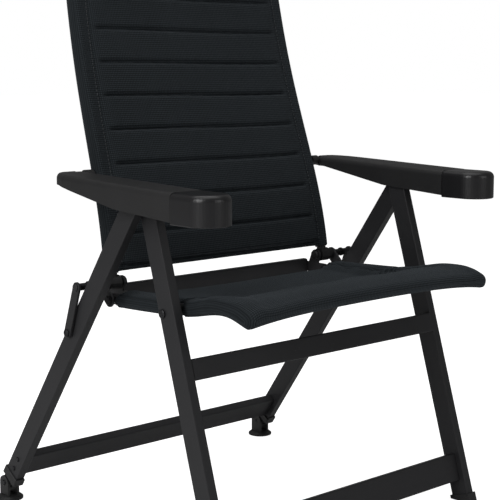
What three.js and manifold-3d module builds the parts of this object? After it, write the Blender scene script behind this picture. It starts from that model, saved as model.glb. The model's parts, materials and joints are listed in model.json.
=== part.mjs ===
// Folding camp chair with a reclining back, in millimetres.
// +Z is up, the sitter faces -Y and +X is the sitter's left. The origin is on the floor under the
// middle of the open chair. Every paired piece is drawn on the left and mirrored.
import * as THREE from "three";
import { mergeVertices } from "three/addons/utils/BufferGeometryUtils.js";
import Module from "manifold-3d";

const wasm = await Module();
wasm.setup();

const point = (y, z) => new THREE.Vector2(y, z); // a point of the side view

// ---------------------------------------------------------------- driving dimensions
const GAP = 0.3; // between pieces that touch

// Pivots of the folding linkage.
const APEX = point(-91.5, 560); // front leg, rear leg and armrest catch
const SEAT_PIVOT = point(-133.5, 387.5); // seat on front leg
const REAR_HINGE = point(53.25, 407); // seat, back and folding link
const LINK_FOOT = point(80.25, 329.5); // folding link on rear leg
// The armrest closes a parallelogram with the front leg and the seat.
const ARM_PIVOT = APEX.clone().add(REAR_HINGE).sub(SEAT_PIVOT);
const PIVOT_RADIUS = 4;

// Legs: flat tube, the rear pair outside the front pair.
const FRONT_LEG = { lean: -16.74, width: 35, x: [273, 289], end: 574.5 };
const REAR_LEG = { lean: 35.23, width: 34, x: [293, 309], end: 626 };
const LEG_WALL = 2;
const LEG_EDGE = 1.2;
const LEG_TOP = { reach: 11, halfWidth: 10 };

// Crossbars: the middle's distance from the apex along the leg, and its offset to the rear.
const UPPER_BAR = { leg: FRONT_LEG, along: 267.8, across: -10, height: 33, depth: 15 };
const LOWER_BAR = { leg: FRONT_LEG, along: 524.8, across: 1, height: 47, depth: 16 };
const REAR_BAR = { leg: REAR_LEG, along: 602, across: 1, height: 46, depth: 16 };
const BAR_RIVETS = { upper: 587, lower: 610 }; // along the rear leg

// Feet.
const COLLAR_LIP = 2.5;
const FRONT_FOOT_TOP = 573; // along the leg
const SOCKET = { top: 621.5, bottom: 638 }; // along the leg
const PAD_PIVOT = { along: 652, across: 4.5 };
const PAD_RADIUS = 23.5;
const TONGUE = { x: [294, 308], radius: 11.5 };
const EAR = { outer: [308.5, 312.5], inner: [289.5, 293.5], radius: 13 };
const PLUG_LENGTH = 26; // of a foot's plug inside its leg

// Seat: a U of tube inside a padded sling, held by hinge plates at its rear ends.
const SEAT_LINE = [
  point(42, 383),
  point(-90, 387.5),
  point(-150, 391.5),
  point(-200, 401),
  point(-238, 408.5),
  point(-262, 408),
];
const SEAT_LIP = [point(-284, 405), point(-299, 401)];
const SEAT_TUBE = { x: 250, taper: 0, corner: 46, radius: 9, wall: 1.5 };
const SEAT_PAD = {
  halfWidth: [263, 265.4],
  flare: [-170, -225],
  halfThickness: 11,
  rear: 20,
  corner: 26,
  edge: 8,
};
const RAIL_BOLT = point(31, 383.5);
const SEAT_REAR_BAR = { at: point(80.75, 384), height: 28, depth: 14 };
const INNER_PLATE_X = [223, 227.5];
const OUTER_PLATE_X = [263.5, 267.5];
const HINGE_ROD_RADIUS = 6;

// Back: an inverted U of tube inside a padded sling, narrower at the top.
const BACK_LINE = [
  point(56.9, 421.5),
  point(69, 486),
  point(94, 586),
  point(128.5, 686),
  point(155, 786),
  point(171, 861),
  point(200, 1012),
  point(226, 1160),
];
const BACK_TUBE = { x: 241.5, taper: 0.0355, corner: 60, radius: 11, wall: 1.5 };
const BACK_PAD = { bottom: 424, halfThickness: 13 };
const EYE = { x: [231.5, 252.5], radius: 12 };

// Armrests: a shell open below, a front cap and the catch rack inside.
const ARM_X = [266, 333];
const ARM_WALL = 2.5;
const ARM_EDGE = 6;
const ARM_SEAM = -207;
const ARM_REAR = { end: 106, outerCurve: 40, innerCorner: 22 };
const ARM_TOP = { height: 577, slope: 0.0331 }; // at the seam
const CHANNEL_REAR = 60;
const CAP = { noseCentre: -250, bottom: 531, lip: 0.8, edge: 8, hollowFront: -262 };
const RACK = { x: [311, 324], from: -204, to: -78, bottom: 564.8, notches: 6, travel: 104 };

// ---------------------------------------------------------------- materials
const finish = (name, color, roughness, metalness) =>
  new THREE.MeshStandardMaterial({ name, color, roughness, metalness });
const FRAME_COAT = finish("frame_coat", 0x2c2c2f, 0.5, 0.4);
const DARK_STEEL = finish("dark_steel", 0x17181a, 0.35, 0.8);
const MATTE_PLASTIC = finish("matte_plastic", 0x1a1a1b, 0.7, 0);
const CAP_PLASTIC = finish("cap_plastic", 0x1d1d20, 0.45, 0);
const FABRIC = finish("fabric", 0x1c2226, 0.95, 0);

// ---------------------------------------------------------------- solids
function toSolid(geometry) {
  const bare = geometry.clone();
  bare.deleteAttribute("normal");
  bare.deleteAttribute("uv");
  const merged = mergeVertices(bare, 1e-4);
  const triVerts = [];
  for (let i = 0; i < merged.index.count; i += 3) {
    const corners = [0, 1, 2].map((k) => merged.index.getX(i + k));
    if (new Set(corners).size === 3) triVerts.push(...corners);
  }
  return new wasm.Manifold(
    new wasm.Mesh({
      numProp: 3,
      vertProperties: merged.attributes.position.array,
      triVerts: new Uint32Array(triVerts),
    }),
  );
}

function toGeometry(solid) {
  const mesh = solid.getMesh();
  const positions = new Float32Array(mesh.vertProperties);
  const geometry = new THREE.BufferGeometry();
  geometry.setAttribute("position", new THREE.BufferAttribute(positions, 3));
  geometry.setIndex(new THREE.BufferAttribute(new Uint32Array(mesh.triVerts), 1));
  geometry.computeVertexNormals();
  return geometry;
}

const join = (...solids) => solids.reduce((sum, next) => sum.add(next));
const cut = (...solids) => solids.reduce((left, next) => left.subtract(next));

// Turns a shape's (x, y, depth) into the chair's (Y, Z, X).
const SIDE_VIEW = new THREE.Matrix4().makeBasis(
  new THREE.Vector3(0, 1, 0),
  new THREE.Vector3(0, 0, 1),
  new THREE.Vector3(1, 0, 0),
);

// A side-view outline between two X values, with its outer edges rounded.
function plate(shape, [x0, x1], edge = 0, segments = 4) {
  const geometry = new THREE.ExtrudeGeometry(shape, {
    depth: x1 - x0 - 2 * edge,
    curveSegments: segments,
    bevelEnabled: edge > 0,
    bevelSize: edge,
    bevelThickness: edge,
    bevelOffset: -edge,
    bevelSegments: Math.min(3, Math.ceil(edge)),
  });
  geometry.translate(0, 0, x0 + edge);
  return toSolid(geometry.applyMatrix4(SIDE_VIEW));
}

// A plan outline between two heights.
function slab(shape, z0, z1) {
  const options = { depth: z1 - z0, curveSegments: 5, bevelEnabled: false };
  return toSolid(new THREE.ExtrudeGeometry(shape, options).translate(0, 0, z0));
}

function disc(centre, radius) {
  const shape = new THREE.Shape();
  shape.absarc(centre.x, centre.y, radius, 0, 2 * Math.PI, false);
  return shape;
}

// The outline of a strip with round ends about two points.
function obround(a, b, radius) {
  const angle = b.clone().sub(a).angle();
  const shape = new THREE.Shape();
  shape.absarc(b.x, b.y, radius, angle - Math.PI / 2, angle + Math.PI / 2, false);
  shape.absarc(a.x, a.y, radius, angle + Math.PI / 2, angle + (3 * Math.PI) / 2, false);
  return shape;
}

// A closed outline through the corners given, each rounded by radius.
function rounded(corners, radius) {
  const shape = new THREE.Shape();
  corners.forEach((corner, i) => {
    const before = corners[(i + corners.length - 1) % corners.length];
    const after = corners[(i + 1) % corners.length];
    const start = corner.clone().add(before.clone().sub(corner).setLength(radius));
    const end = corner.clone().add(after.clone().sub(corner).setLength(radius));
    if (i === 0) shape.moveTo(start.x, start.y);
    else shape.lineTo(start.x, start.y);
    shape.quadraticCurveTo(corner.x, corner.y, end.x, end.y);
  });
  shape.closePath();
  return shape;
}

// The outline of a strip of even thickness along a side-view curve.
function thickLine(curve, half, samples, roundEnd) {
  const near = [];
  const far = [];
  for (let i = 0; i <= samples; i++) {
    const at = curve.getPointAt(i / samples);
    const tangent = curve.getTangentAt(i / samples);
    const normal = point(-tangent.y, tangent.x).multiplyScalar(half);
    near.push(at.clone().sub(normal));
    far.unshift(at.clone().add(normal));
  }
  const tip = [];
  if (roundEnd) {
    const end = curve.getPointAt(1);
    const start = curve.getTangentAt(1).angle() - Math.PI / 2;
    for (let i = 1; i < 6; i++) {
      const turn = start + (i * Math.PI) / 6;
      tip.push(end.clone().add(point(Math.cos(turn), Math.sin(turn)).multiplyScalar(half)));
    }
  }
  return new THREE.Shape([...near, ...tip, ...far]);
}

// A turned piece along X through a side-view point, from stations of [X, radius].
function turned(centre, stations, segments = 12) {
  const ends = [stations[0][0], stations[stations.length - 1][0]];
  const profile = stations.map(([x, radius]) => point(radius, x));
  const closed = [point(0, ends[0]), ...profile, point(0, ends[1])];
  const geometry = new THREE.LatheGeometry(closed, segments);
  geometry.rotateZ(-Math.PI / 2);
  return toSolid(geometry.translate(0, centre.x, centre.y));
}

const rod = (centre, radius, [x0, x1], segments) =>
  turned(centre, [[x0, radius], [x1, radius]], segments);

// A bolt whose shank runs from x0 to x1 and whose head follows it.
const boltStations = (radius, x0, x1, headRadius, headHeight) => [
  [x0, radius],
  [x1, radius],
  [x1, headRadius],
  [x1 + headHeight - 1, headRadius],
  [x1 + headHeight, headRadius - 1.5],
];

// The same hole on both sides of the chair.
const holePair = (centre, radius, [x0, x1]) => [
  rod(centre, radius, [x0, x1]),
  rod(centre, radius, [-x1, -x0]),
];

// A ring about a pivot.
const ring = (centre, outer, inner, [x0, x1]) =>
  cut(rod(centre, outer, [x0, x1], 16), rod(centre, inner, [x0 - 5, x1 + 5]));

// How a bent tube's samples are shared out, on each half of the U.
const TUBE_STEPS = 24;
const BEND_START = 1 / 12;
const BEND_END = 5 / 12;

// The centre line of a U of tube: up one side, across its far end and down the other side. The
// side view follows profile, and the sides draw in by taper for each millimetre of it.
class BentTube extends THREE.Curve {
  constructor(profile, { x, taper, corner }) {
    super();
    this.profile = profile;
    this.reach = profile.getLength();
    this.x = x;
    this.taper = taper;
    this.corner = corner;
  }

  getPoint(t, target = new THREE.Vector3()) {
    const { corner, reach } = this;
    const away = Math.abs(2 * t - 1); // 0 at the middle of the far end, 1 at an open end
    let x = this.x;
    let along = ((1 - away) / (1 - BEND_END)) * (reach - corner);
    if (away < BEND_START) {
      x = (away / BEND_START) * (this.x - corner);
      along = reach;
    } else if (away < BEND_END) {
      const turn = (((away - BEND_START) / (BEND_END - BEND_START)) * Math.PI) / 2;
      x = this.x - corner + corner * Math.sin(turn);
      along = reach - corner + corner * Math.cos(turn);
    }
    const at = this.profile.getPointAt(THREE.MathUtils.clamp(along / reach, 0, 1));
    const side = t < 0.5 ? 1 : -1;
    return target.set(side * x * (1 - (this.taper * along) / this.x), at.x, at.y);
  }

  // Keeps the samples where getPoint puts them, closer together round the corners.
  getUtoTmapping(u) {
    return u;
  }
}

// A round tube or, with no wall, a round bar along a bent tube's line.
function alongTube(curve, radius, wall = 0, sides = 10) {
  const section = disc(point(0, 0), radius);
  if (wall > 0) section.holes.push(disc(point(0, 0), radius - wall));
  return toSolid(
    new THREE.ExtrudeGeometry(section, {
      steps: TUBE_STEPS,
      curveSegments: sides / 2,
      bevelEnabled: false,
      extrudePath: curve,
    }),
  );
}

// ---------------------------------------------------------------- assembly
const chair = new THREE.Group();

function addPart(name, geometry, material) {
  const mesh = new THREE.Mesh(geometry, material);
  mesh.name = name;
  chair.add(mesh);
  return mesh;
}

const addSingle = (name, solid, material) => addPart(name, toGeometry(solid), material);

function addPair(name, solid, material) {
  const geometry = toGeometry(solid);
  addPart(`${name}_left`, geometry, material);
  addPart(`${name}_right`, geometry, material).scale.x = -1;
}

const widened = ([x0, x1], by) => [x0 - by, x1 + by];

// ---------------------------------------------------------------- legs and crossbars
// A point given along a leg from the apex, and across it to the rear.
function onLeg(leg, along, across) {
  const lean = THREE.MathUtils.degToRad(leg.lean);
  return point(
    APEX.x + Math.sin(lean) * along + Math.cos(lean) * across,
    APEX.y - Math.cos(lean) * along + Math.sin(lean) * across,
  );
}

function legBlock(leg, from, to, half, x, edge) {
  const corners = [
    [from, -half],
    [to, -half],
    [to, half],
    [from, half],
  ];
  const outline = corners.map(([along, across]) => onLeg(leg, along, across));
  return plate(new THREE.Shape(outline), x, edge);
}

function legSolid(leg, ...holes) {
  const half = leg.width / 2;
  const { reach, halfWidth } = LEG_TOP;
  const outline = [
    [-reach, -halfWidth],
    [reach, -half],
    [leg.end, -half],
    [leg.end, half],
    [reach, half],
    [-reach, halfWidth],
  ].map(([along, across]) => onLeg(leg, along, across));
  const body = plate(new THREE.Shape(outline), leg.x, LEG_EDGE);
  const inside = legBlock(leg, 30, leg.end + 5, half - LEG_WALL, widened(leg.x, -LEG_WALL));
  const pivot = rod(APEX, PIVOT_RADIUS + GAP, widened(leg.x, 5));
  return cut(body, inside, pivot, ...holes);
}

function crossbar(bar) {
  const reach = bar.leg.x[0] - GAP;
  const corners = [
    [1, -1],
    [1, 1],
    [-1, 1],
    [-1, -1],
  ].map(([down, back]) =>
    onLeg(bar.leg, bar.along + (down * bar.height) / 2, bar.across + (back * bar.depth) / 2),
  );
  return plate(rounded(corners, 2.5), [-reach, reach], 0, 3);
}

const seatBoltHoles = holePair(SEAT_PIVOT, PIVOT_RADIUS + GAP, [234, 300]);
addPair("front_leg", legSolid(FRONT_LEG, ...seatBoltHoles), FRAME_COAT);

const rearOuterWall = [REAR_LEG.x[1] - 4, REAR_LEG.x[1] + 4];
const rivets = Object.entries(BAR_RIVETS).map(([place, along]) => ({
  name: `crossbar_rivet_${place}`,
  at: onLeg(REAR_LEG, along, 0),
}));
const rivetHoles = rivets.map(({ at }) => rod(at, 2.5 + GAP, rearOuterWall, 10));
const linkBoltHole = rod(LINK_FOOT, PIVOT_RADIUS + GAP, rearOuterWall);
addPair("rear_leg", legSolid(REAR_LEG, linkBoltHole, ...rivetHoles), FRAME_COAT);

addSingle("upper_front_crossbar", crossbar(UPPER_BAR), FRAME_COAT);
addSingle("lower_front_crossbar", crossbar(LOWER_BAR), FRAME_COAT);
addSingle("rear_crossbar", crossbar(REAR_BAR), FRAME_COAT);

// ---------------------------------------------------------------- feet
// The space a leg's end takes in its foot.
const legPocket = (leg, from) =>
  legBlock(leg, from, leg.end + GAP, leg.width / 2 + GAP, widened(leg.x, GAP));

// The foot's plug inside the hollow leg.
function legPlug(leg) {
  const clearance = LEG_WALL + GAP;
  const half = leg.width / 2 - clearance;
  return legBlock(leg, leg.end - PLUG_LENGTH, leg.end + 3, half, widened(leg.x, -clearance));
}

function frontFoot() {
  const half = FRONT_LEG.width / 2 + COLLAR_LIP;
  const slope = Math.tan(THREE.MathUtils.degToRad(FRONT_LEG.lean));
  const onFloor = (top) => point(top.x + slope * top.y, 0);
  const front = onLeg(FRONT_LEG, FRONT_FOOT_TOP, -half);
  const rear = onLeg(FRONT_LEG, FRONT_FOOT_TOP, half);
  const outline = new THREE.Shape([front, onFloor(front), onFloor(rear), rear]);
  const body = plate(outline, widened(FRONT_LEG.x, COLLAR_LIP));
  return join(cut(body, legPocket(FRONT_LEG, FRONT_FOOT_TOP - 10)), legPlug(FRONT_LEG));
}

const padPivot = onLeg(REAR_LEG, PAD_PIVOT.along, PAD_PIVOT.across);
const padBore = rod(padPivot, 3 + GAP, [280, 320]);

function rearSocket() {
  const half = REAR_LEG.width / 2 + COLLAR_LIP;
  const collarX = widened(REAR_LEG.x, COLLAR_LIP);
  const collar = legBlock(REAR_LEG, SOCKET.top, SOCKET.bottom, half, collarX, 1);
  const tongueTop = onLeg(REAR_LEG, SOCKET.bottom - 6, 2);
  const tongue = plate(obround(tongueTop, padPivot, TONGUE.radius), TONGUE.x);
  const pocket = legPocket(REAR_LEG, SOCKET.top - 10);
  const barBottom = REAR_BAR.along + REAR_BAR.height / 2;
  const barRoom = legBlock(REAR_LEG, SOCKET.top - 5, barBottom + 1, half + 1, [285, REAR_LEG.x[0]]);
  return join(cut(join(collar, tongue), pocket, barRoom, padBore), legPlug(REAR_LEG));
}

function footPad() {
  const profile = [
    point(0, 0),
    point(PAD_RADIUS, 0),
    point(PAD_RADIUS, 3.5),
    point(PAD_RADIUS - 4, 6.5),
    point(14, 8.5),
    point(0, 8.5),
  ];
  const base = new THREE.LatheGeometry(profile, 24);
  base.rotateX(Math.PI / 2);
  base.translate((REAR_LEG.x[0] + REAR_LEG.x[1]) / 2, padPivot.x, 0);
  const ear = new THREE.Shape();
  ear.absarc(padPivot.x, padPivot.y, EAR.radius, 0, Math.PI, false);
  ear.lineTo(padPivot.x - EAR.radius, 4);
  ear.lineTo(padPivot.x + EAR.radius, 4);
  ear.closePath();
  const ears = [EAR.outer, EAR.inner].map((x) => plate(ear, x, 0, 5));
  return cut(join(toSolid(base), ...ears), padBore);
}

addPair("front_foot", frontFoot(), MATTE_PLASTIC);
addPair("rear_foot_socket", rearSocket(), MATTE_PLASTIC);
addPair("rear_foot_pad", footPad(), MATTE_PLASTIC);
addPair("foot_pivot_pin", turned(padPivot, boltStations(3, 289, 312.8, 5, 1.8)), DARK_STEEL);

// ---------------------------------------------------------------- frame bolts
const catchPin = turned(APEX, [
  [269, 5.5],
  [270, 7],
  [272.6, 7],
  [272.6, PIVOT_RADIUS],
  [325, PIVOT_RADIUS],
]);
const seatBolt = turned(SEAT_PIVOT, boltStations(PIVOT_RADIUS, 239, 289.3, 7, 3));
addPair("apex_catch_pin", catchPin, DARK_STEEL);
addPair("apex_washer", ring(APEX, 9, PIVOT_RADIUS + GAP, [289.3, 292.7]), MATTE_PLASTIC);
addPair("seat_pivot_bolt", seatBolt, DARK_STEEL);
addPair("seat_pivot_bush", ring(SEAT_PIVOT, 10, PIVOT_RADIUS + GAP, [263.4, 272.7]), MATTE_PLASTIC);
for (const { name, at } of rivets) {
  addPair(name, turned(at, boltStations(2.5, 307.1, 309.3, 4.5, 1.8), 12), DARK_STEEL);
}

// ---------------------------------------------------------------- folding links
const LINK_X = [310.4, 315.4];
const strap = plate(obround(LINK_FOOT, REAR_HINGE, 8.5), LINK_X, 0.8);
const strapHole = rod(LINK_FOOT, PIVOT_RADIUS + GAP, widened(LINK_X, 4));
const stud = turned(REAR_HINGE, boltStations(3, 314, 315.4, 6.5, 2.6));
const linkBolt = turned(LINK_FOOT, boltStations(PIVOT_RADIUS, 299, 315.7, 6.5, 2.6));
addPair("folding_link", join(cut(strap, strapHole), stud), FRAME_COAT);
addPair("link_bolt", linkBolt, DARK_STEEL);

// ---------------------------------------------------------------- seat
const seatTubeLine = new BentTube(new THREE.SplineCurve(SEAT_LINE), SEAT_TUBE);
const railBoltHoles = holePair(RAIL_BOLT, PIVOT_RADIUS + GAP, [215, 280]);
const hingeRodHole = rod(REAR_HINGE, HINGE_ROD_RADIUS + GAP, [215, 280]);

function seatTube() {
  const tube = alongTube(seatTubeLine, SEAT_TUBE.radius, SEAT_TUBE.wall);
  return cut(tube, ...seatBoltHoles, ...railBoltHoles);
}

function seatPad() {
  const { halfWidth, flare, halfThickness, rear, corner, edge } = SEAT_PAD;
  const [narrow, wide] = halfWidth;
  const line = new THREE.SplineCurve([...SEAT_LINE, ...SEAT_LIP]);
  const sling = plate(thickLine(line, halfThickness, 18, true), [-wide, wide], edge);
  const side = wide + 1;
  const front = SEAT_LIP[1].x - halfThickness - 1;
  const flareMiddle = (flare[0] + flare[1]) / 2;
  const plan = new THREE.Shape();
  plan.moveTo(-narrow, rear);
  plan.lineTo(-narrow, flare[0]);
  plan.bezierCurveTo(-narrow, flareMiddle, -side, flareMiddle, -side, flare[1]);
  plan.lineTo(-side, front + corner);
  plan.quadraticCurveTo(-side, front, -side + corner, front);
  plan.lineTo(side - corner, front);
  plan.quadraticCurveTo(side, front, side, front + corner);
  plan.lineTo(side, flare[1]);
  plan.bezierCurveTo(side, flareMiddle, narrow, flareMiddle, narrow, flare[0]);
  plan.lineTo(narrow, rear);
  plan.closePath();
  const tunnel = alongTube(seatTubeLine, SEAT_TUBE.radius + 0.4);
  const body = sling.intersect(slab(plan, 300, 500));
  return cut(body, tunnel, ...seatBoltHoles);
}

function seatRearBar() {
  const { at, height, depth } = SEAT_REAR_BAR;
  const reach = INNER_PLATE_X[0] - GAP;
  const corners = [
    [1, -1],
    [1, 1],
    [-1, 1],
    [-1, -1],
  ].map(([back, up]) => point(at.x + (back * depth) / 2, at.y + (up * height) / 2));
  return plate(rounded(corners, 4), [-reach, reach], 0, 3);
}

function innerPlate() {
  const lower = plate(obround(RAIL_BOLT, SEAT_REAR_BAR.at, 9), INNER_PLATE_X);
  const upper = plate(obround(point(62, 386), REAR_HINGE, 10.5), INNER_PLATE_X);
  return cut(join(lower, upper), ...railBoltHoles, hingeRodHole);
}

function outerPlate() {
  const body = plate(obround(RAIL_BOLT, REAR_HINGE, 11), OUTER_PLATE_X, 0.8);
  return cut(body, ...railBoltHoles, hingeRodHole);
}

// The rod carries two collars outside the outer plate.
function hingeRod() {
  const radius = HINGE_ROD_RADIUS;
  return turned(REAR_HINGE, [
    [219, 7.5],
    [220, 9],
    [222.7, 9],
    [222.7, radius],
    [268, radius],
    [268, 8.5],
    [271.5, 8.5],
    [271.5, radius],
    [289, radius],
    [289, 8],
    [292, 8],
    [292, radius],
    [309, radius],
    [309.8, radius - 0.8],
  ]);
}

function railBolt() {
  return turned(RAIL_BOLT, [
    [219, 5.5],
    [220, 7],
    [222.7, 7],
    [222.7, PIVOT_RADIUS],
    [267.8, PIVOT_RADIUS],
    [267.8, 7],
    [269.8, 7],
    [270.8, 5.5],
  ]);
}

addSingle("seat_frame_tube", seatTube(), FRAME_COAT);
addSingle("seat_pad", seatPad(), FABRIC);
addSingle("seat_rear_crossbar", seatRearBar(), FRAME_COAT);
addPair("hinge_plate_inner", innerPlate(), FRAME_COAT);
addPair("hinge_plate_outer", outerPlate(), FRAME_COAT);
addPair("hinge_rod", hingeRod(), DARK_STEEL);
addPair("rail_bolt", railBolt(), DARK_STEEL);
addPair("hinge_collar", ring(REAR_HINGE, 9.5, HINGE_ROD_RADIUS + GAP, [253.5, 262.8]), MATTE_PLASTIC);

// ---------------------------------------------------------------- back
const backLine = new THREE.SplineCurve(BACK_LINE);
const backTubeLine = new BentTube(backLine, BACK_TUBE);
const armBoltHoles = holePair(ARM_PIVOT, PIVOT_RADIUS + GAP, [215, 293]);

function backPad() {
  const { halfThickness, bottom } = BACK_PAD;
  const loop = backTubeLine.getPoints(TUBE_STEPS).map((at) => new THREE.Vector2(at.x, at.z));
  const panel = new THREE.Shape(loop.reverse());
  const options = { depth: 400, bevelEnabled: false };
  const front = new THREE.ExtrudeGeometry(panel, options).rotateX(Math.PI / 2);
  const sheet = plate(thickLine(backLine, halfThickness, 18, false), [-260, 260]);
  const roll = alongTube(backTubeLine, halfThickness, 0, 14);
  const block = slab(disc(point(0, 0), 500), bottom, 1300);
  const body = join(sheet.intersect(toSolid(front.translate(0, 300, 0))), roll).intersect(block);
  const tunnel = alongTube(backTubeLine, BACK_TUBE.radius + 0.4);
  return cut(body, tunnel, ...armBoltHoles);
}

function backTube() {
  const tube = alongTube(backTubeLine, BACK_TUBE.radius, BACK_TUBE.wall);
  return cut(tube, ...armBoltHoles);
}

// The fitting in the tube's lower end, with its eye on the hinge rod.
function tubeEye() {
  const eye = rod(REAR_HINGE, EYE.radius, EYE.x, 20);
  const plugRadius = BACK_TUBE.radius - BACK_TUBE.wall - 1;
  const foot = backLine.getPointAt(0);
  const up = backLine.getTangentAt(0);
  const stem = new THREE.CylinderGeometry(plugRadius, plugRadius, 26, 14);
  stem.rotateX(up.angle());
  const middle = foot.clone().addScaledVector(up, 2);
  stem.translate(BACK_TUBE.x, middle.x, middle.y);
  return cut(join(eye, toSolid(stem)), hingeRodHole);
}

addSingle("back_frame_tube", backTube(), FRAME_COAT);
addSingle("back_pad", backPad(), FABRIC);
addPair("back_tube_eye", tubeEye(), MATTE_PLASTIC);
addPair("arm_spacer", ring(ARM_PIVOT, 9, PIVOT_RADIUS + GAP, [249.6, ARM_X[0] - GAP - 0.1]), MATTE_PLASTIC);
addPair("arm_pivot_bolt", turned(ARM_PIVOT, [[229, PIVOT_RADIUS], [292, PIVOT_RADIUS]]), DARK_STEEL);

// ---------------------------------------------------------------- armrests
const armTop = (y) => ARM_TOP.height + ARM_TOP.slope * (y - ARM_SEAM);
const channelX = widened(ARM_X, -ARM_WALL);

// The shell's plan: its rear end sweeps in on the outer side.
function armPlan() {
  const [x0, x1] = ARM_X;
  const { end, outerCurve, innerCorner } = ARM_REAR;
  const plan = new THREE.Shape();
  plan.moveTo(x0, ARM_SEAM);
  plan.lineTo(x1, ARM_SEAM);
  plan.lineTo(x1, outerCurve);
  plan.quadraticCurveTo(x1, end, x1 - outerCurve, end);
  plan.lineTo(x0 + innerCorner, end);
  plan.quadraticCurveTo(x0, end, x0, end - innerCorner);
  plan.closePath();
  return plan;
}

function armShell() {
  const end = ARM_REAR.end;
  const outline = new THREE.Shape([
    point(ARM_SEAM - ARM_EDGE, 532),
    point(-72.5, 541),
    point(end + 10, 574),
    point(end + 10, armTop(end + 10)),
    point(ARM_SEAM - ARM_EDGE, armTop(ARM_SEAM - ARM_EDGE)),
  ]);
  const channel = new THREE.Shape([
    point(ARM_SEAM - 10, 500),
    point(CHANNEL_REAR, 500),
    point(CHANNEL_REAR, armTop(CHANNEL_REAR) - ARM_WALL - 4),
    point(CHANNEL_REAR - 14, armTop(CHANNEL_REAR - 14) - ARM_WALL),
    point(ARM_SEAM - 10, armTop(ARM_SEAM - 10) - ARM_WALL),
  ]);
  const body = plate(outline, ARM_X, ARM_EDGE).intersect(slab(armPlan(), 500, 620));
  return cut(body, plate(channel, channelX), ...armBoltHoles);
}

// The cap's plan between the seam and a half-round nose, drawn in by inset.
function capPlan(inset) {
  const [x0, x1] = widened(ARM_X, CAP.lip - inset);
  const seam = ARM_SEAM - GAP;
  const plan = new THREE.Shape();
  plan.moveTo(x1, seam);
  plan.lineTo(x0, seam);
  plan.lineTo(x0, CAP.noseCentre);
  plan.absarc((x0 + x1) / 2, CAP.noseCentre, (x1 - x0) / 2, Math.PI, 2 * Math.PI, false);
  plan.closePath();
  return plan;
}

// The cap is built up in layers that draw in to a rounded top edge.
function armCap() {
  const { bottom, edge, hollowFront } = CAP;
  const seam = ARM_SEAM - GAP;
  const top = armTop(CAP.noseCentre) + 1;
  const layers = [];
  for (let i = 0; i < 6; i++) {
    const turn = (i * Math.PI) / 12;
    const height = top - edge + edge * Math.sin(turn + Math.PI / 12);
    layers.push(slab(capPlan(edge * (1 - Math.cos(turn))), bottom, height));
  }
  const hollow = new THREE.Shape([
    point(seam + 5, 500),
    point(seam + 5, top - ARM_WALL - 2),
    point(hollowFront + 8, top - ARM_WALL - 2),
    point(hollowFront, top - 10),
    point(hollowFront, 500),
  ]);
  return cut(join(...layers), plate(hollow, channelX));
}

function catchRack() {
  const { x, from, to, bottom, notches, travel } = RACK;
  const under = (y) => armTop(y) - ARM_WALL - GAP;
  const outline = new THREE.Shape([
    point(from, bottom),
    point(to, bottom),
    point(to, under(to)),
    point(from, under(from)),
  ]);
  const cuts = [];
  for (let i = 0; i < notches; i++) {
    const y = APEX.x - (i * travel) / (notches - 1);
    cuts.push(rod(point(y, bottom - 1), 4.6, widened(x, 3)));
  }
  return cut(plate(outline, x), ...cuts);
}

addPair("armrest_shell", armShell(), MATTE_PLASTIC);
addPair("armrest_cap", armCap(), CAP_PLASTIC);
addPair("armrest_rack", catchRack(), MATTE_PLASTIC);

export default chair;
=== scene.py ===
"""Folding camp chair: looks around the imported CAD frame. Metres, +Z up, the sitter faces -Y."""

import json
import math

import bpy
import bmesh
import numpy as np
from mathutils import Matrix, Vector
from mathutils.bvhtree import BVHTree


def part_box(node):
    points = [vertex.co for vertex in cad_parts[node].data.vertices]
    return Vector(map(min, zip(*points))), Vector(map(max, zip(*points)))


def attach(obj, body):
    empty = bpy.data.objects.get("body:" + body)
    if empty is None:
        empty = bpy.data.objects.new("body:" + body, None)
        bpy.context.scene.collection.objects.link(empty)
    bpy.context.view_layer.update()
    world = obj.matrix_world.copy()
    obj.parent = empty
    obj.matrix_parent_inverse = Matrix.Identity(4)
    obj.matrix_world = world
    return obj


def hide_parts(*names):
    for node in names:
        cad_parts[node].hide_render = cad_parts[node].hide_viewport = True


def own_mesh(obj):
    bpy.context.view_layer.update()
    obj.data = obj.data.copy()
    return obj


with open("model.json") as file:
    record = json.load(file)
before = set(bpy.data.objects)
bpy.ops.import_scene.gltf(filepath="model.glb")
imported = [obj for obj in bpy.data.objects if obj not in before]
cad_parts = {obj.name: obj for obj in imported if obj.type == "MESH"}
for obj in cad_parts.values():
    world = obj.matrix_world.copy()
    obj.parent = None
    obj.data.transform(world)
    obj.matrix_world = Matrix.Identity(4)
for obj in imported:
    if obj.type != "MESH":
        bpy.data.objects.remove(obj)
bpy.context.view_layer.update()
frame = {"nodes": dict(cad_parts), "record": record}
scene = bpy.context.scene


# ---------------------------------------------------------------- node helpers
MIX_A, MIX_B, MIX_RESULT = 6, 7, 2  # the Mix node's colour sockets; their names are not unique


def new_material(name, roughness, metallic=0.0, specular=0.5):
    """A material, its node tree and its Principled shader."""
    material = bpy.data.materials.new(name)
    material.use_nodes = True
    tree = material.node_tree
    shader = tree.nodes["Principled BSDF"]
    shader.inputs["Roughness"].default_value = roughness
    shader.inputs["Metallic"].default_value = metallic
    shader.inputs["Specular IOR Level"].default_value = specular
    return material, tree, shader


def node(tree, kind, values=(), **settings):
    """A node with its properties set, and its inputs set by name or number."""
    made = tree.nodes.new(kind)
    for key, value in settings.items():
        setattr(made, key, value)
    for key, value in dict(values).items():
        if isinstance(value, bpy.types.NodeSocket):
            tree.links.new(value, made.inputs[key])
        else:
            made.inputs[key].default_value = value
    return made


def math_node(tree, operation, a, b=0.0):
    return node(tree, "ShaderNodeMath", {0: a, 1: b}, operation=operation).outputs[0]


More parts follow.
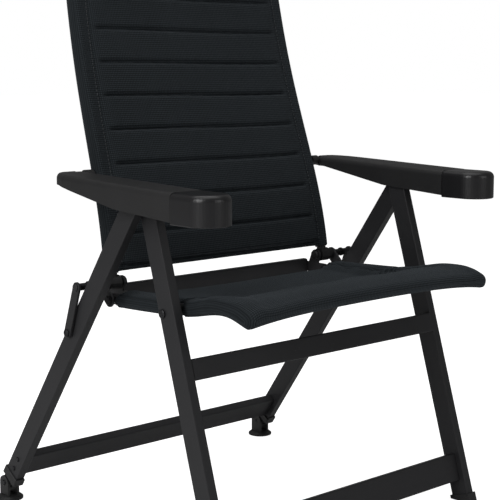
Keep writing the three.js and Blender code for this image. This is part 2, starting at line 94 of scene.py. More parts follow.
def noise(tree, vector, scale, detail=3.0, roughness=0.5):
    values = {"Vector": vector, "Scale": scale, "Detail": detail, "Roughness": roughness}
    return node(tree, "ShaderNodeTexNoise", values).outputs["Fac"]


def ramp(tree, factor, low, high, colour_low, colour_high):
    """Two colours blended between two values of factor."""
    made = node(tree, "ShaderNodeValToRGB", {"Fac": factor})
    first, second = made.color_ramp.elements
    first.position, second.position = low, high
    first.color = (*colour_low, 1)
    second.color = (*colour_high, 1)
    return made.outputs["Color"]


def remap(tree, value, low, high):
    """A value from 0..1 spread over low..high."""
    values = {"Value": value, "To Min": low, "To Max": high}
    return node(tree, "ShaderNodeMapRange", values).outputs["Result"]


def bump(tree, shader, height, distance, strength):
    values = {"Height": height, "Distance": distance, "Strength": strength}
    made = node(tree, "ShaderNodeBump", values)
    tree.links.new(made.outputs["Normal"], shader.inputs["Normal"])


def object_coords(tree):
    return node(tree, "ShaderNodeTexCoord").outputs["Object"]


# ---------------------------------------------------------------- materials
def coated_metal():
    """Satin powder coat: fine orange peel, cloudy gloss, a few pale rub marks."""
    base, light = (0.0204, 0.0204, 0.0221), (0.0256, 0.0254, 0.0274)
    rubbed = (0.05, 0.05, 0.052, 1)
    material, tree, shader = new_material("coated_metal", roughness=0.5, specular=0.32)
    at = object_coords(tree)
    cloud = noise(tree, at, scale=9.0, detail=4.0)
    colour = ramp(tree, cloud, 0.35, 0.7, base, light)
    scuff_field = noise(tree, at, scale=260.0, detail=2.0, roughness=0.7)
    scuffs = ramp(tree, scuff_field, 0.71, 0.78, (0, 0, 0), (1, 1, 1))
    values = {"Factor": scuffs, MIX_A: colour, MIX_B: rubbed}
    mixed = node(tree, "ShaderNodeMix", values, data_type="RGBA")
    tree.links.new(mixed.outputs[MIX_RESULT], shader.inputs["Base Color"])
    tree.links.new(remap(tree, cloud, 0.42, 0.56), shader.inputs["Roughness"])
    peel = noise(tree, at, scale=1400.0, detail=2.0)
    bump(tree, shader, peel, distance=0.00022, strength=0.35)
    return material


def dark_steel():
    """Blackened steel of pins and bolts, with rubbed high spots."""
    base, rubbed = (0.020, 0.020, 0.022), (0.055, 0.055, 0.058)
    material, tree, shader = new_material("dark_steel", roughness=0.35, metallic=0.75)
    wear = noise(tree, object_coords(tree), scale=420.0)
    tree.links.new(ramp(tree, wear, 0.45, 0.75, base, rubbed), shader.inputs["Base Color"])
    tree.links.new(remap(tree, wear, 0.28, 0.5), shader.inputs["Roughness"])
    bump(tree, shader, wear, distance=0.0002, strength=0.4)
    return material


def moulded_plastic(name, base, light, roughness, grain_scale, grain_depth):
    """Moulded plastic with a spark-eroded grain and slightly uneven gloss, between two roughnesses."""
    material, tree, shader = new_material(name, roughness[0])
    at = object_coords(tree)
    cloud = noise(tree, at, scale=14.0)
    tree.links.new(ramp(tree, cloud, 0.3, 0.75, base, light), shader.inputs["Base Color"])
    tree.links.new(remap(tree, cloud, *roughness), shader.inputs["Roughness"])
    cells = {"Vector": at, "Scale": grain_scale}
    grain = node(tree, "ShaderNodeTexVoronoi", cells).outputs["Distance"]
    soft = noise(tree, at, scale=grain_scale * 0.6, detail=2.0)
    height = math_node(tree, "ADD", math_node(tree, "MULTIPLY", grain, 0.6), soft)
    bump(tree, shader, height, grain_depth, strength=0.5)
    return material


WEAVE_PITCH = 0.0033
RIB_HEIGHT_AND_SIDE_SHADE = 0.35  # against a lattice height of 1; this low height also paints shade, darkening the rolled sides
FUZZ_HEIGHT = 0.45
RIB_AND_SHADE_ARC = (0.010, 0.016)  # length of cloth round the side's edge over which ribs, with their painted shade, become lattice


def mesh_fabric():
    """Padded 3D-mesh cloth: a knitted lattice in the cloth's two directions, and ribs round its sides. The
    colour follows the knit's height, so the low ribs paint shade on the rolled sides, which come out darker
    than the top.

    The attribute cloth_lay holds, in metres of cloth, the place across the sling, the place along
    it, and the way round its rolled side.
    """
    dark, pale = (0.0052, 0.0066, 0.0078), (0.0362, 0.0432, 0.0486)
    material, tree, shader = new_material("mesh_fabric", roughness=0.92, specular=0.14)
    shader.inputs["Sheen Weight"].default_value = 0.08
    shader.inputs["Sheen Roughness"].default_value = 0.45
    shader.inputs["Sheen Tint"].default_value = (0.75, 0.85, 0.95, 1)
    lay = node(tree, "ShaderNodeAttribute", attribute_name="cloth_lay").outputs["Vector"]
    at = object_coords(tree)
    split = node(tree, "ShaderNodeSeparateXYZ", {"Vector": lay})

    def thread(socket):
        angle = math_node(tree, "MULTIPLY", split.outputs[socket], math.pi / WEAVE_PITCH)
        return math_node(tree, "ABSOLUTE", math_node(tree, "SINE", angle))

    lattice = math_node(tree, "MULTIPLY", thread("X"), thread("Y"))
    ribs = math_node(tree, "MULTIPLY", thread("Z"), RIB_HEIGHT_AND_SIDE_SHADE)
    rim = {"Value": split.outputs["Z"], "From Min": RIB_AND_SHADE_ARC[0], "From Max": RIB_AND_SHADE_ARC[1]}
    inside = node(tree, "ShaderNodeMapRange", rim).outputs["Result"]
    mixed = math_node(tree, "MULTIPLY", math_node(tree, "SUBTRACT", lattice, ribs), inside)
    knit = math_node(tree, "ADD", ribs, mixed)
    fuzz = noise(tree, at, scale=1500.0, detail=2.0, roughness=0.6)
    heights = math_node(tree, "ADD", knit, math_node(tree, "MULTIPLY", fuzz, FUZZ_HEIGHT))
    # colour follows the height, so the low ribs paint the rolled sides darker: painted shade
    base = ramp(tree, heights, 0.15, 1.0, dark, pale)
    patch = noise(tree, at, scale=7.0)
    varied = node(tree, "ShaderNodeVectorMath", {0: base}, operation="SCALE")
    tree.links.new(remap(tree, patch, 0.82, 1.18), varied.inputs["Scale"])
    tree.links.new(varied.outputs["Vector"], shader.inputs["Base Color"])
    bump(tree, shader, heights, distance=0.0008, strength=0.75)
    return material


def seam_thread():
    """Sewing thread, paler than the cloth."""
    base, light = (0.03, 0.034, 0.037), (0.075, 0.082, 0.088)
    material, tree, shader = new_material("seam_thread", roughness=0.7)
    twist = noise(tree, object_coords(tree), scale=900.0)
    tree.links.new(ramp(tree, twist, 0.35, 0.7, base, light), shader.inputs["Base Color"])
    return material


PLASTIC = moulded_plastic(
    "matte_plastic",
    base=(0.0098, 0.0098, 0.0104),
    light=(0.0126, 0.0124, 0.0130),
    roughness=(0.46, 0.58),
    grain_scale=1300.0,
    grain_depth=0.00016,
)
CAP = moulded_plastic(
    "cap_plastic",
    base=(0.0105, 0.0102, 0.0112),
    light=(0.0135, 0.0131, 0.0143),
    roughness=(0.26, 0.34),
    grain_scale=1700.0,
    grain_depth=0.00007,
)
FABRIC = mesh_fabric()
THREAD = seam_thread()
BY_SLOT = {
    "frame_coat": coated_metal(),
    "dark_steel": dark_steel(),
    "matte_plastic": PLASTIC,
    "cap_plastic": CAP,
    "fabric": FABRIC,
}
for part in frame["record"]["subparts"]:
    cad = frame["nodes"][part["node"]]
    cad.data.materials.clear()
    cad.data.materials.append(BY_SLOT[part["material_slot"]])


# ---------------------------------------------------------------- probing the frame
OUTSIDE = 2  # rays start this far out, clear of the chair
LEFT, BACKWARD, UP = Vector((1, 0, 0)), Vector((0, 1, 0)), Vector((0, 0, 1))


def tree_of(name):
    """A ray-casting tree of a CAD node's mesh."""
    mesh = frame["nodes"][name].data
    corners = [v.co.copy() for v in mesh.vertices]
    return BVHTree.FromPolygons(corners, [tuple(p.vertices) for p in mesh.polygons])


def hit(tree, origin, direction):
    return tree.ray_cast(Vector(origin), direction)[0]


# ---------------------------------------------------------------- shape helpers
def smoothstep(low, high, value):
    """0 at low and 1 at high, with a soft start and end; low may be the larger."""
    t = np.clip((value - low) / (high - low), 0, 1)
    return t * t * (3 - 2 * t)


def groove(distance, width):
    """1 on a line, fading out over about its width on each side."""
    return np.exp(-((distance / width) ** 2))


def wave(place, height, rate, phase):
    return height * np.sin(place * rate + phase)


def ripple(x, s, seed, rate):
    """Low, smooth unevenness, the same on each run."""
    random = np.random.default_rng(seed)
    total = np.zeros_like(x)
    count = 9
    for _ in range(count):
        direction = random.uniform(0, math.pi)
        own_rate = rate * random.uniform(0.6, 1.8)
        phase = random.uniform(0, 2 * math.pi)
        total += np.sin((x * math.cos(direction) + s * math.sin(direction)) * own_rate + phase)
    return total / count


def object_from(name, mesh, material):
    """An object from a bmesh, which is used up."""
    data = bpy.data.meshes.new(name)
    mesh.to_mesh(data)
    mesh.free()
    data.materials.append(material)
    made = bpy.data.objects.new(name, data)
    scene.collection.objects.link(made)
    return made


# ---------------------------------------------------------------- padded slings
class Sling:
    """A padded sling over a U of tube: two cloth faces that meet round the tube.

    The sling is laid out flat as (x, s): x across the chair, and s from its open end to reach, the
    end that wraps the tube's cross piece. middle(s) gives the middle surface in side view: its y and
    z, and its normal's y and z. width(s) is the sling's half-width, half is half the thickness of its
    rolled edge, and corner is the radius of the far corners.
    """

    def __init__(self, middle, width, reach, half, corner):
        self.middle = middle
        self.width = width
        self.reach = reach
        self.half = half
        self.corner = corner

    def grid(self, pitch, row_pitch, edge_steps, end_rows):
        """Flat places of the grid's points, and their distance in from the sling's outline."""
        least_room = 0.001
        turn = np.linspace(0, math.pi / 2, edge_steps + 1)
        rim = self.half * (1 - np.cos(turn))
        rows_inner = np.linspace(0, 1, int((self.reach - self.half) / row_pitch) + 1)
        s = np.concatenate([end_rows, rows_inner[1:] * (self.reach - self.half)])
        s = np.unique(np.round(s, 7))
        s = np.concatenate([s, self.reach - rim[::-1][1:]])
        width = self.outline(s)
        inner_count = int(2 * float(self.width(0.0)) / pitch)
        inner = np.linspace(-1, 1, inner_count + 1)[1:-1]
        room = np.maximum(width - self.half, least_room)
        left = -width[:, None] + rim[None, :] * np.minimum(1, width / self.half)[:, None]
        middle = inner[None, :] * room[:, None]
        x = np.concatenate([left, middle, -left[:, ::-1]], axis=1)
        s = np.repeat(s[:, None], x.shape[1], axis=1)
        return x, s, self.inset(x, s)

    def outline(self, s):
        """Half-width at s, drawn in round the far corners."""
        into = np.clip(s - (self.reach - self.corner), 0, self.corner)
        return self.width(s) - self.corner + np.sqrt(np.maximum(self.corner**2 - into**2, 0))

    def side(self, x, s):
        """Distance in from the nearer side."""
        return self.width(s) - np.abs(x)

    def inset(self, x, s):
        """Distance in from the outline."""
        side = self.side(x, s)
        end = self.reach - s
        c = self.corner
        near_corner = (side < c) & (end < c)
        round_corner = c - np.hypot(c - side, c - end)
        return np.maximum(np.where(near_corner, round_corner, np.minimum(side, end)), 0)

    def arc(self, inset):
        """Length of cloth round the rolled edge, from the outline to a distance in from it."""
        return self.half * np.arccos(np.clip(1 - inset / self.half, 0, 1))

    def rolled(self, inset):
        """Half-thickness at a distance in from the outline."""
        back = np.clip(self.half - inset, 0, self.half)
        return np.sqrt(self.half**2 - back**2)

    def lay(self, x, s):
        """The cloth_lay of each place: across, along, and round the rolled side."""
        end = np.minimum(self.reach - s, self.half)
        along = s + end - self.arc(end) + self.half * (math.pi / 2 - 1)
        return np.stack([x, along, self.arc(self.side(x, s))], axis=-1)


def sling_object(name, sling, front_face, rear_face, grid_settings):
    """The sling's mesh. Each face function gives the cloth's height off the middle surface."""
    x, s, inset = sling.grid(**grid_settings)
    rows, columns = x.shape
    y, z, normal_y, normal_z = sling.middle(s)
    front = front_face(x, s, inset)
    rear = rear_face(x, s, inset)
    lay = sling.lay(x, s)
    mesh = bmesh.new()
    lay_layer = mesh.verts.layers.float_vector.new("cloth_lay")
    front_verts, rear_verts = {}, {}

    def add_vert(i, j, height):
        place = (x[i, j], y[i, j] + normal_y[i, j] * height, z[i, j] + normal_z[i, j] * height)
        vert = mesh.verts.new(place)
        vert[lay_layer] = lay[i, j]
        return vert

    for i in range(rows):
        for j in range(columns):
            front_verts[i, j] = add_vert(i, j, front[i, j])
            on_edge = j in (0, columns - 1) or i == rows - 1
            rear_verts[i, j] = front_verts[i, j] if on_edge else add_vert(i, j, -rear[i, j])

    def add_face(*corners):
        different = list(dict.fromkeys(corners))
        if len(different) > 2:
            mesh.faces.new(different)

    for i in range(rows - 1):
        for j in range(columns - 1):
            a, b, c, d = (i, j), (i, j + 1), (i + 1, j + 1), (i + 1, j)
            add_face(front_verts[a], front_verts[b], front_verts[c], front_verts[d])
            add_face(rear_verts[d], rear_verts[c], rear_verts[b], rear_verts[a])
    for j in range(columns - 1):
        a, b = (0, j), (0, j + 1)
        add_face(front_verts[b], front_verts[a], rear_verts[a], rear_verts[b])
    bmesh.ops.recalc_face_normals(mesh, faces=mesh.faces)
    made = object_from(name, mesh, FABRIC)
    made.data.shade_smooth()
    return made


# ---------------------------------------------------------------- back
BACK_HALF = 0.013
BACK_CORNER = 0.073
BACK_BORDER = 0.030  # from the outline to the seam inside the tube's sleeve
CHANNEL_PITCH = 0.0555
CHANNEL_COUNT = 12
FIRST_SEAM = 0.0565
HEM_SEAM = 0.008
CHANNEL_SEAMS = [FIRST_SEAM + CHANNEL_PITCH * i for i in range(CHANNEL_COUNT)]
CHANNEL_SHARPNESS = 12.0  # how squarely a channel's padding meets its seams
CHANNEL_DROOP = 0.86  # under 1, a channel is fullest below its middle


def back_sling():
    """The back's flat layout, measured on the CAD pad."""
    tree = tree_of("back_pad")
    low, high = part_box("back_pad")
    heights = np.linspace(low.z + 0.004, high.z - 0.02, 48)
    middles = []
    for z in heights:
        front = hit(tree, (0, -OUTSIDE, z), BACKWARD).y
        rear = hit(tree, (0, OUTSIDE, z), -BACKWARD).y
        middles.append((front + rear) / 2)
    side_heights = np.linspace(low.z + 0.01, high.z - 0.09, 12)
    side_middles = np.interp(side_heights, heights, middles)
    widths = [hit(tree, (OUTSIDE, y, z), -LEFT).x for y, z in zip(side_middles, side_heights)]
    width_line = np.polyfit(side_heights - low.z, widths, 1)
    curve = np.polynomial.Polynomial.fit(heights - low.z, middles, 6)
    slope = curve.deriv()

    def middle(s):
        tilt = slope(s)
        length = np.sqrt(1 + tilt**2)
        return curve(s), low.z + s, -1 / length, tilt / length

    def width(s):
        return np.polyval(width_line, s)

    return Sling(middle, width, high.z - low.z, BACK_HALF, BACK_CORNER)


BACK = back_sling()


def puff(s, seams):
    """How full the channels are: 0 at each seam and 1 between them."""
    seams = np.asarray(seams)
    k = np.clip(np.searchsorted(seams, s) - 1, 0, len(seams) - 2)
    u = (s - seams[k]) / (seams[k + 1] - seams[k])
    u = np.clip(u, 0, 1) ** CHANNEL_DROOP
    return 1 - np.abs(2 * u - 1) ** CHANNEL_SHARPNESS


def from_seams(s, seams):
    """Distance along the sling to the nearest seam."""
    return np.min(np.abs(s[..., None] - np.asarray(seams)), axis=-1)


def back_front(x, s, inset):
    """Height of the front cloth: puffed channels inside a plain sleeve round the tube."""
    sleeve = BACK.rolled(inset)
    seams = [HEM_SEAM, *CHANNEL_SEAMS]
    bent = s + wave(x, height=0.0016, rate=9, phase=0.6) + 0.0012 * ripple(x, s, seed=3, rate=22)
    near = from_seams(bent, seams)
    quilted = bent < seams[-1]
    full = np.where(quilted, puff(bent, seams), 1)
    fade = smoothstep(BACK_BORDER + 0.004, BACK_BORDER + 0.020, inset)
    channels = (0.0052 * (1 - full) + 0.0034 * groove(near, 0.0021)) * fade
    tugs = 5 * ripple(x, s, seed=5, rate=30)
    pulls = groove(near, 0.012) * wave(x, height=0.0006, rate=210, phase=tugs) * fade
    border = 0.0022 * groove(inset - BACK_BORDER, 0.0028)
    valley = 0.0016 * groove(inset - 0.0225, 0.006)
    hem = 0.004 * groove(s - 0.0085, 0.0022) + 0.005 * smoothstep(HEM_SEAM, 0, s)
    hem = hem * smoothstep(0.02, 0.032, inset)
    uneven = 0.0012 * ripple(x, s, seed=7, rate=16) * smoothstep(0.01, 0.03, inset)
    padding = 0.0022 * smoothstep(BACK_BORDER, 0.05, inset)
    return sleeve + padding - channels - border - valley - hem + uneven + pulls


def back_rear(x, s, inset):
    """Height of the rear cloth: the same seams, pressed in less."""
    fade = smoothstep(BACK_BORDER + 0.002, BACK_BORDER + 0.016, inset)
    channels = 0.0022 * groove(from_seams(s, CHANNEL_SEAMS), 0.003) * fade
    border = 0.0020 * groove(inset - BACK_BORDER, 0.0028)
    hem = 0.005 * smoothstep(HEM_SEAM, 0, s) * smoothstep(0.02, 0.032, inset)
    uneven = 0.001 * ripple(x, s, seed=11, rate=14)
    return BACK.rolled(inset) - channels - border - hem + uneven


back = sling_object(
    "back_cushion",
    BACK,
    back_front,
    back_rear,
    {"pitch": 0.0042, "row_pitch": 0.0024, "edge_steps": 9, "end_rows": [0, 0.0015, 0.004, 0.0065, 0.0085]},
)
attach(back, "back")
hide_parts("back_pad")


# ---------------------------------------------------------------- seat
SEAT_HALF = 0.011
SEAT_CORNER = 0.013
SEAT_EAR = 0.0065  # how far the front corners stand out past the plain sling
SEAT_EAR_FROM = 0.62  # share of the seat's depth at which the ears begin
SEAT_BORDER = 0.044  # from the seat's side to its border seam
SEAT_LIP = 0.092  # from the seat's front edge to its front seam
SLEEVE_RADIUS = 0.0100  # inside of the cloth round the tube's cross piece
SLEEVE_CLOTH = 0.0015


def seat_sling():
    """The seat's flat layout, measured on the CAD pad."""
    tree = tree_of("seat_pad")
    low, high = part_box("seat_pad")
    rear_y = high.y
    reach = rear_y - low.y
    places = np.linspace(rear_y - 0.002, low.y + 0.014, 40)
    middles = []
    for y in places:
        top = hit(tree, (0, y, OUTSIDE), -UP).z
        under = hit(tree, (0, y, 0), UP).z
        middles.append((top + under) / 2)
    curve = np.polynomial.Polynomial.fit(rear_y - places, middles, 7)
    slope = curve.deriv()

    def middle(s):
        tilt = slope(np.minimum(s, reach - 0.012))
        length = np.sqrt(1 + tilt**2)
        return rear_y - s, curve(s), tilt / length, 1 / length

    side_places = np.linspace(rear_y - 0.01, low.y + 0.04, 30)
    side_heights = curve(rear_y - side_places)
    widths = [hit(tree, (OUTSIDE, y, z), -LEFT).x for y, z in zip(side_places, side_heights)]

    def width(s):
        flare = SEAT_EAR * smoothstep(SEAT_EAR_FROM, 1.0, np.asarray(s) / reach)
        return np.interp(s, rear_y - side_places, widths) + flare

    return Sling(middle, width, reach, SEAT_HALF, SEAT_CORNER)


SEAT = seat_sling()
FRONT_SEAM = SEAT.reach - SEAT_LIP


def seat_edge(x, s, inset):
    """The rolled edge's half-thickness, with fine ribs that run along the sides."""
    turn = SEAT.arc(SEAT.side(x, s)) / SEAT.half
    ribs = 0.0007 * np.cos(turn * 11) * smoothstep(0.1, 0.4, turn) * smoothstep(1.5, 1.2, turn)
    return SEAT.rolled(inset) + ribs


def lip_arch(x, s):
    """The front edge rises between its corners, which droop a little."""
    across = np.clip(np.abs(x) / SEAT.width(s), 0, 1)
    forward = smoothstep(FRONT_SEAM - 0.02, SEAT.reach, s)
    return forward * (0.0065 * (1 - across**2) - 0.0075 * across**5)


def hammock(x, s, depth):
    """Sag between the sides, and between the rear edge and the front seam."""
    along = np.clip(s / FRONT_SEAM, 0, 1) * math.pi
    return depth * (1 - (x / SEAT.width(s)) ** 2) * np.sin(along)


def seat_top(x, s, inset):
    """Height of the upper cloth: a padded border and front lip round a sagging middle."""
    side = SEAT.side(x, s)
    scallop = wave(s, height=0.0016, rate=75, phase=1.2) + wave(s, height=0.0011, rate=141, phase=0)
    edge = SEAT_BORDER + scallop
    behind = smoothstep(FRONT_SEAM + 0.004, FRONT_SEAM - 0.004, s)
    from_border = smoothstep(edge - 0.003, edge + 0.028, side)
    inner = from_border * smoothstep(FRONT_SEAM + 0.012, FRONT_SEAM - 0.036, s)
    bend = wave(x, height=0.004, rate=14, phase=0.5) * smoothstep(0.0, 0.1, side)
    within = smoothstep(SEAT_BORDER - 0.006, SEAT_BORDER + 0.01, side)
    tugs = 9 * ripple(x, s, seed=31, rate=9)
    creases = 6 * ripple(x, s, seed=33, rate=12)

    border = 0.0036 * groove(side - 0.024, 0.015)
    lip_roll = 0.0032 * groove(SEAT.reach - s - 0.030, 0.022)
    uneven = 0.0022 * ripple(x, s, seed=21, rate=17) * smoothstep(0.01, 0.04, inset)
    folds = wave(x, height=0.0022, rate=46, phase=tugs) * groove(s - FRONT_SEAM + 0.015, 0.030)
    pleats = wave(s, height=0.0019, rate=95, phase=creases) * groove(side - edge - 0.012, 0.016) * behind
    raised = border + lip_roll + uneven + folds + pleats + lip_arch(x, s)

    border_seam = 0.0065 * groove(side - edge, 0.0042) * behind
    front_seam = 0.0062 * groove(s + bend - FRONT_SEAM, 0.0044) * within
    crossing = 0.0070 * groove(side - edge, 0.013) * groove(s - FRONT_SEAM, 0.014)
    rear_hem = 0.003 * smoothstep(0.01, 0.0, s)
    sunk = inner * (hammock(x, s, depth=0.011) + 0.0060)
    return seat_edge(x, s, inset) + raised - sunk - border_seam - front_seam - crossing - rear_hem


def over_front_tube(x, s):
    """How far below the middle surface the cloth must hang to clear the tube's cross piece."""
    tube_low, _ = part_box("seat_frame_tube")
    _, pad_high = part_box("seat_pad")
    centre_y = tube_low.y + SLEEVE_RADIUS
    bottom = hit(tree_of("seat_frame_tube"), (0, centre_y, 0), UP).z
    _, middle_z, _, normal_z = SEAT.middle(s)
    across = pad_high.y - s - centre_y
    depth = np.sqrt(np.maximum(SLEEVE_RADIUS**2 - across**2, 0))
    needed = (middle_z - bottom - SLEEVE_RADIUS + depth) * normal_z + SLEEVE_CLOTH
    between_borders = SEAT.side(x, s) > SEAT_BORDER
    return np.where((np.abs(across) < SLEEVE_RADIUS) & between_borders, needed, 0)


def seat_under(x, s, inset):
    """Depth of the lower cloth, which follows the sag and the arch of the upper one."""
    from_side = smoothstep(0.03, 0.07, SEAT.side(x, s))
    inner = from_side * smoothstep(SEAT.reach - 0.05, SEAT.reach - 0.09, s)
    sag = inner * (hammock(x, s, depth=0.008) - 0.003)
    uneven = 0.001 * ripple(x, s, seed=23, rate=14)
    cloth = seat_edge(x, s, inset) + sag + uneven - lip_arch(x, s)
    return np.maximum(cloth, over_front_tube(x, s))


seat = sling_object(
    "seat_cushion",
    SEAT,
    seat_top,
    seat_under,
    {"pitch": 0.0034, "row_pitch": 0.0028, "edge_steps": 20, "end_rows": [0, 0.0015, 0.004, 0.0065]},
)
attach(seat, "seat")
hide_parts("seat_pad")
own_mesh(seat)


# ---------------------------------------------------------------- stitching
STITCH_PITCH = 0.0062
STITCH_LENGTH = 0.0042
STITCH_RADIUS = 0.00055
STITCH_SUNK = 0.4  # share of its radius that a stitch sinks into the cloth
STITCH_INSET = BACK_BORDER - 0.0035
STITCH_START = 0.012


def on_face(sling, front_face, x, s):
    """Points on a sling's front face, just proud of the cloth."""
    x, s = np.atleast_2d(x), np.atleast_2d(s)
    height = front_face(x, s, sling.inset(x, s)) + STITCH_RADIUS * (1 - STITCH_SUNK)
    y, z, normal_y, normal_z = sling.middle(s)
    return np.stack([x, y + normal_y * height, z + normal_z * height], axis=-1)[0]


def add_stitches(mesh, sling, front_face, path):
    """Short threads along a path of flat (x, s) places."""
    x, s = path.T
    steps = np.concatenate([[0], np.cumsum(np.hypot(np.diff(x), np.diff(s)))])
    starts = np.arange(0, steps[-1] - STITCH_LENGTH, STITCH_PITCH)
    ends = [
        on_face(sling, front_face, np.interp(at, steps, x), np.interp(at, steps, s))
        for at in (starts, starts + STITCH_LENGTH)
    ]
    for first, last in zip(*ends):
        a, b = Vector(first), Vector(last)
        turn = (b - a).to_track_quat("Z", "X").to_matrix().to_4x4()
        bmesh.ops.create_cone(
            mesh,
            cap_ends=True,
            segments=6,
            radius1=STITCH_RADIUS,
            radius2=STITCH_RADIUS,
            depth=(b - a).length,
            matrix=Matrix.Translation((a + b) / 2) @ turn,
        )


stitch_mesh = bmesh.new()
for side in (1, -1):
    along = np.linspace(STITCH_START, BACK.reach - BACK.corner, 60)
    side_path = np.stack([side * (BACK.width(along) - STITCH_INSET), along], axis=-1)
    add_stitches(stitch_mesh, BACK, back_front, side_path)
stitching = object_from("back_stitching", stitch_mesh, THREAD)
stitching.data.shade_smooth()
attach(stitching, "back")


# ---------------------------------------------------------------- armrests
ARM_FILLET = 0.009
ARM_SKIN = 0.0025
ARM_TAIL = 0.05  # the rounded rear end
ARM_EASE = (0.006, 0.0045)  # length and drop of the last rounding at the rear end
ARM_HOLLOW_END = (0.045, 0.060)  # y between which the hollow underneath runs out
CAP_FILLET = 0.0095
CAP_SKIN = 0.0028
CAP_LIP = 0.0016  # rounding at the cap's lower edge
CAP_CROWN = 0.0004  # rise of the cap's middle over its rim
SHARP_ANGLE = math.radians(40)
WELD = 0.00001


def clean(mesh):
    bmesh.ops.remove_doubles(mesh, verts=mesh.verts, dist=WELD)
    bmesh.ops.dissolve_degenerate(mesh, edges=mesh.edges, dist=WELD)


def moulded_object(name, mesh, material):
    """An object from a bmesh, smooth but for its sharp corners."""
    bmesh.ops.recalc_face_normals(mesh, faces=mesh.faces)
    made = object_from(name, mesh, material)
    with bpy.context.temp_override(object=made, active_object=made, selected_objects=[made]):
        bpy.ops.object.shade_smooth_by_angle(angle=SHARP_ANGLE)
    return made


def across_arms(low, high):
    """The inner and outer x of a box on either side, as distances from the middle plane."""
    return min(abs(low.x), abs(high.x)), max(abs(low.x), abs(high.x))


def lofted(name, rings, side):
    """A skin through closed rings, whose two halves face each other, with both ends closed."""
    mesh = bmesh.new()
    rows = [[mesh.verts.new((side * x, y, z)) for x, y, z in ring] for ring in rings]
    count = len(rows[0])
    for lower, upper in zip(rows, rows[1:]):
        for i in range(count):
            k = (i + 1) % count
            mesh.faces.new((lower[i], lower[k], upper[k], upper[i]))
    for row in (rows[0], rows[-1]):
        for i in range(count // 2 - 1):
            mesh.faces.new((row[i], row[i + 1], row[count - 2 - i], row[count - 1 - i]))
    clean(mesh)
    return moulded_object(name, mesh, PLASTIC)


def arch(x0, x1, foot, top, fillet, steps=8):
    """A section up one side, round two fillets and down the other side."""
    least_radius = 0.0004
    r = max(min(fillet, (x1 - x0) / 2.1, (top - foot) / 1.3), least_radius)
    points = [(x1, foot), (x1, foot + (top - r - foot) * 0.5)]
    for i in range(steps + 1):
        turn = i * math.pi / 2 / steps
        points.append((x1 - r + r * math.cos(turn), top - r + r * math.sin(turn)))
    middle = (x0 + x1) / 2
    points += [(middle + (x1 - r - middle) * 0.5, top), (middle, top)]
    mirrored = [(x0 + x1 - x, z) for x, z in reversed(points[:-1])]
    return points + mirrored


def shell_rings(side, node_name):
    """Sections of the armrest's shell, measured on the CAD shell: an outer skin and an inner one."""
    tree = tree_of(node_name)
    low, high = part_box(node_name)
    inner_x, outer_x = across_arms(low, high)
    middle_x = side * (inner_x + outer_x) / 2
    end = high.y
    ease_length, ease_drop = ARM_EASE
    long_part = np.linspace(low.y, end - ARM_TAIL, 26)
    tail = end - ARM_TAIL * np.cos(np.linspace(0, math.pi / 2, 16))[1:]
    rings = []
    for y in [*long_part, *tail]:
        # each ray stays on material, so near the rear end it keeps its own distance from it
        top = hit(tree, (middle_x, min(y, end - 0.012), OUTSIDE), -UP).z
        foot = hit(tree, (side * (inner_x + 0.001), min(y, end - 0.03), 0), UP).z - 0.0008
        side_y, side_z = min(y, end - 0.0006), top - 0.008
        x1 = abs(hit(tree, (side * OUTSIDE, side_y, side_z), -side * LEFT).x)
        x0 = abs(hit(tree, (0, side_y, side_z), side * LEFT).x)
        into = max(0.0, y - (end - ease_length)) / ease_length
        drop = ease_drop * (1 - math.sqrt(max(0.0, 1 - into * into)))
        outer = arch(x0, x1, foot + drop * 0.5, top - drop, ARM_FILLET)
        hollow = float(1 - smoothstep(*ARM_HOLLOW_END, y))
        ceiling = foot + 0.0004 + (top - ARM_SKIN - foot) * hollow
        skin = min(ARM_SKIN, (x1 - x0) * 0.2)
        inner = arch(x0 + skin, x1 - skin, foot + drop * 0.5, ceiling, ARM_FILLET - ARM_SKIN)
        rings.append([(x, y, z) for x, z in outer + inner[::-1]])
    return rings


def cap_levels(half, bottom, top):
    """The cap's skin as (inset, z) levels, from the ceiling's middle down and out, then up and in."""
    ceiling = top - CAP_SKIN
    inner_fillet = CAP_FILLET - CAP_SKIN
    levels = [(half, ceiling), (half * 0.6, ceiling)]
    for i in range(5):
        turn = (4 - i) * math.pi / 8
        inset = CAP_SKIN + inner_fillet * (1 - math.cos(turn))
        levels.append((inset, ceiling - inner_fillet * (1 - math.sin(turn))))
    levels += [(CAP_SKIN, bottom + 0.001), (CAP_LIP, bottom), (0.0005, bottom + 0.0005)]
    levels += [(0.0, bottom + CAP_LIP), (0.0, bottom + 0.018), (0.0, top - CAP_FILLET - 0.001)]
    for i in range(9):
        turn = i * math.pi / 16
        levels.append((CAP_FILLET * (1 - math.cos(turn)), top - CAP_FILLET * (1 - math.sin(turn))))
    levels += [(half * k, top + CAP_CROWN * k) for k in (0.45, 0.65, 0.85, 1.0)]
    return levels


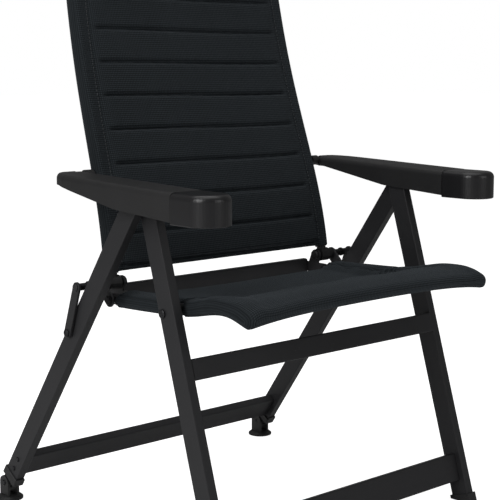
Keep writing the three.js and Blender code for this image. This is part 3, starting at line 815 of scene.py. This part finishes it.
def nose_cap(name, side, node_name):
    """The front cap: a hollow skin, straight from the seam and half round at the nose."""
    low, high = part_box(node_name)
    x0, x1 = across_arms(low, high)
    half = (x1 - x0) / 2
    middle = (x0 + x1) / 2
    seam, nose = high.y, low.y + half
    turns = [i * math.pi / 24 for i in range(25)]
    plan = [(seam, 0.0010), (seam - 0.0008, 0.0002), (seam - 0.002, 0)]
    plan += [(seam + (nose - seam) * k, 0) for k in (0.3, 0.6, 0.85)]
    mesh = bmesh.new()
    rows = []
    for inset, z in cap_levels(half, low.z, high.z):
        radius = max(half - inset, 0.0)
        straight = [(middle + max(radius - extra, 0), y) for y, extra in plan]
        arc = [(middle + radius * math.cos(t), nose - radius * math.sin(t)) for t in turns]
        points = straight + arc + [(2 * middle - x, y) for x, y in reversed(straight)]
        rows.append([mesh.verts.new((side * x, y, z)) for x, y in points])
    for lower, upper in zip(rows, rows[1:]):
        for i in range(len(lower) - 1):
            mesh.faces.new((lower[i], lower[i + 1], upper[i + 1], upper[i]))
    clean(mesh)
    open_edges = [edge for edge in mesh.edges if edge.is_boundary]
    bmesh.ops.holes_fill(mesh, edges=open_edges, sides=0)
    bmesh.ops.triangulate(mesh, faces=[face for face in mesh.faces if len(face.verts) > 4])
    return moulded_object(name, mesh, CAP)


for side, word in ((1, "left"), (-1, "right")):
    rings = shell_rings(side, f"armrest_shell_{word}")
    shell = lofted(f"armrest_cover_{word}", rings, side)
    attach(shell, f"armrest_{word}")
    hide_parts(f"armrest_shell_{word}")
    cap = nose_cap(f"armrest_nose_{word}", side, f"armrest_cap_{word}")
    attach(cap, f"armrest_{word}")
    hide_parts(f"armrest_cap_{word}")


# ---------------------------------------------------------------- camera
CAMERA_PLACE = (-1.4741, -1.6240, 0.7503)
CAMERA_HEADING = math.radians(42.416)
CAMERA_PITCH = math.radians(7.982)
CAMERA_LENS = 93.23
CAMERA_SENSOR = 36

camera = bpy.data.objects.new("camera", bpy.data.cameras.new("camera"))
scene.collection.objects.link(camera)
camera.data.sensor_width = CAMERA_SENSOR
camera.data.lens = CAMERA_LENS
camera.location = CAMERA_PLACE
camera.rotation_euler = (math.pi / 2 - CAMERA_PITCH, 0, -CAMERA_HEADING)
scene.camera = camera


# ---------------------------------------------------------------- studio
FLOOR_LOW = (0.86, 0.86, 0.86)
FLOOR_HIGH = (0.90, 0.90, 0.90)
FLOOR_GLOW = 0.88
FLOOR_SIZE = 60
WORLD_LIGHT = 0.15
LIT_POINT = (0, 0, 0.55)
KEY_WATTS = 50
FILL_WATTS = 12
TOP_WATTS = 34


def softbox(name, place, size, watts):
    """A rectangular soft light, aimed at the middle of the chair."""
    light = bpy.data.objects.new(name, bpy.data.lights.new(name, "AREA"))
    light.data.shape = "RECTANGLE"
    light.data.size, light.data.size_y = size
    light.data.energy = watts
    scene.collection.objects.link(light)
    light.location = place
    direction = Vector(LIT_POINT) - light.location
    light.rotation_euler = direction.to_track_quat("-Z", "Y").to_euler()


def only_seen(tree, unseen, seen):
    """One value for what the camera sees directly, and another for all other light."""
    camera_ray = node(tree, "ShaderNodeLightPath").outputs["Is Camera Ray"]
    return remap(tree, camera_ray, unseen, seen)


def white_floor():
    bpy.ops.mesh.primitive_plane_add(size=FLOOR_SIZE)
    floor = bpy.context.active_object
    floor.name = "floor"
    material, tree, shader = new_material("floor", roughness=0.95, specular=0.0)
    tint = noise(tree, object_coords(tree), scale=1.5)
    tree.links.new(ramp(tree, tint, 0.2, 0.8, FLOOR_LOW, FLOOR_HIGH), shader.inputs["Base Color"])
    shader.inputs["Emission Color"].default_value = (1, 1, 1, 1)
    tree.links.new(only_seen(tree, 0.0, FLOOR_GLOW), shader.inputs["Emission Strength"])
    floor.data.materials.append(material)


def white_surroundings():
    """A backdrop that looks white but lights the chair only dimly."""
    world = bpy.data.worlds.new("studio")
    scene.world = world
    world.use_nodes = True
    tree = world.node_tree
    background = tree.nodes["Background"]
    background.inputs["Color"].default_value = (1, 1, 1, 1)
    tree.links.new(only_seen(tree, WORLD_LIGHT, 1.0), background.inputs["Strength"])


white_floor()
white_surroundings()
softbox("key", place=(-2.9, -0.4, 1.9), size=(1.6, 2.2), watts=KEY_WATTS)
softbox("fill", place=(0.6, -3.2, 1.4), size=(1.6, 1.6), watts=FILL_WATTS)
softbox("top", place=(0.0, 0.2, 3.4), size=(3.2, 3.2), watts=TOP_WATTS)
scene.view_settings.view_transform = "Standard"
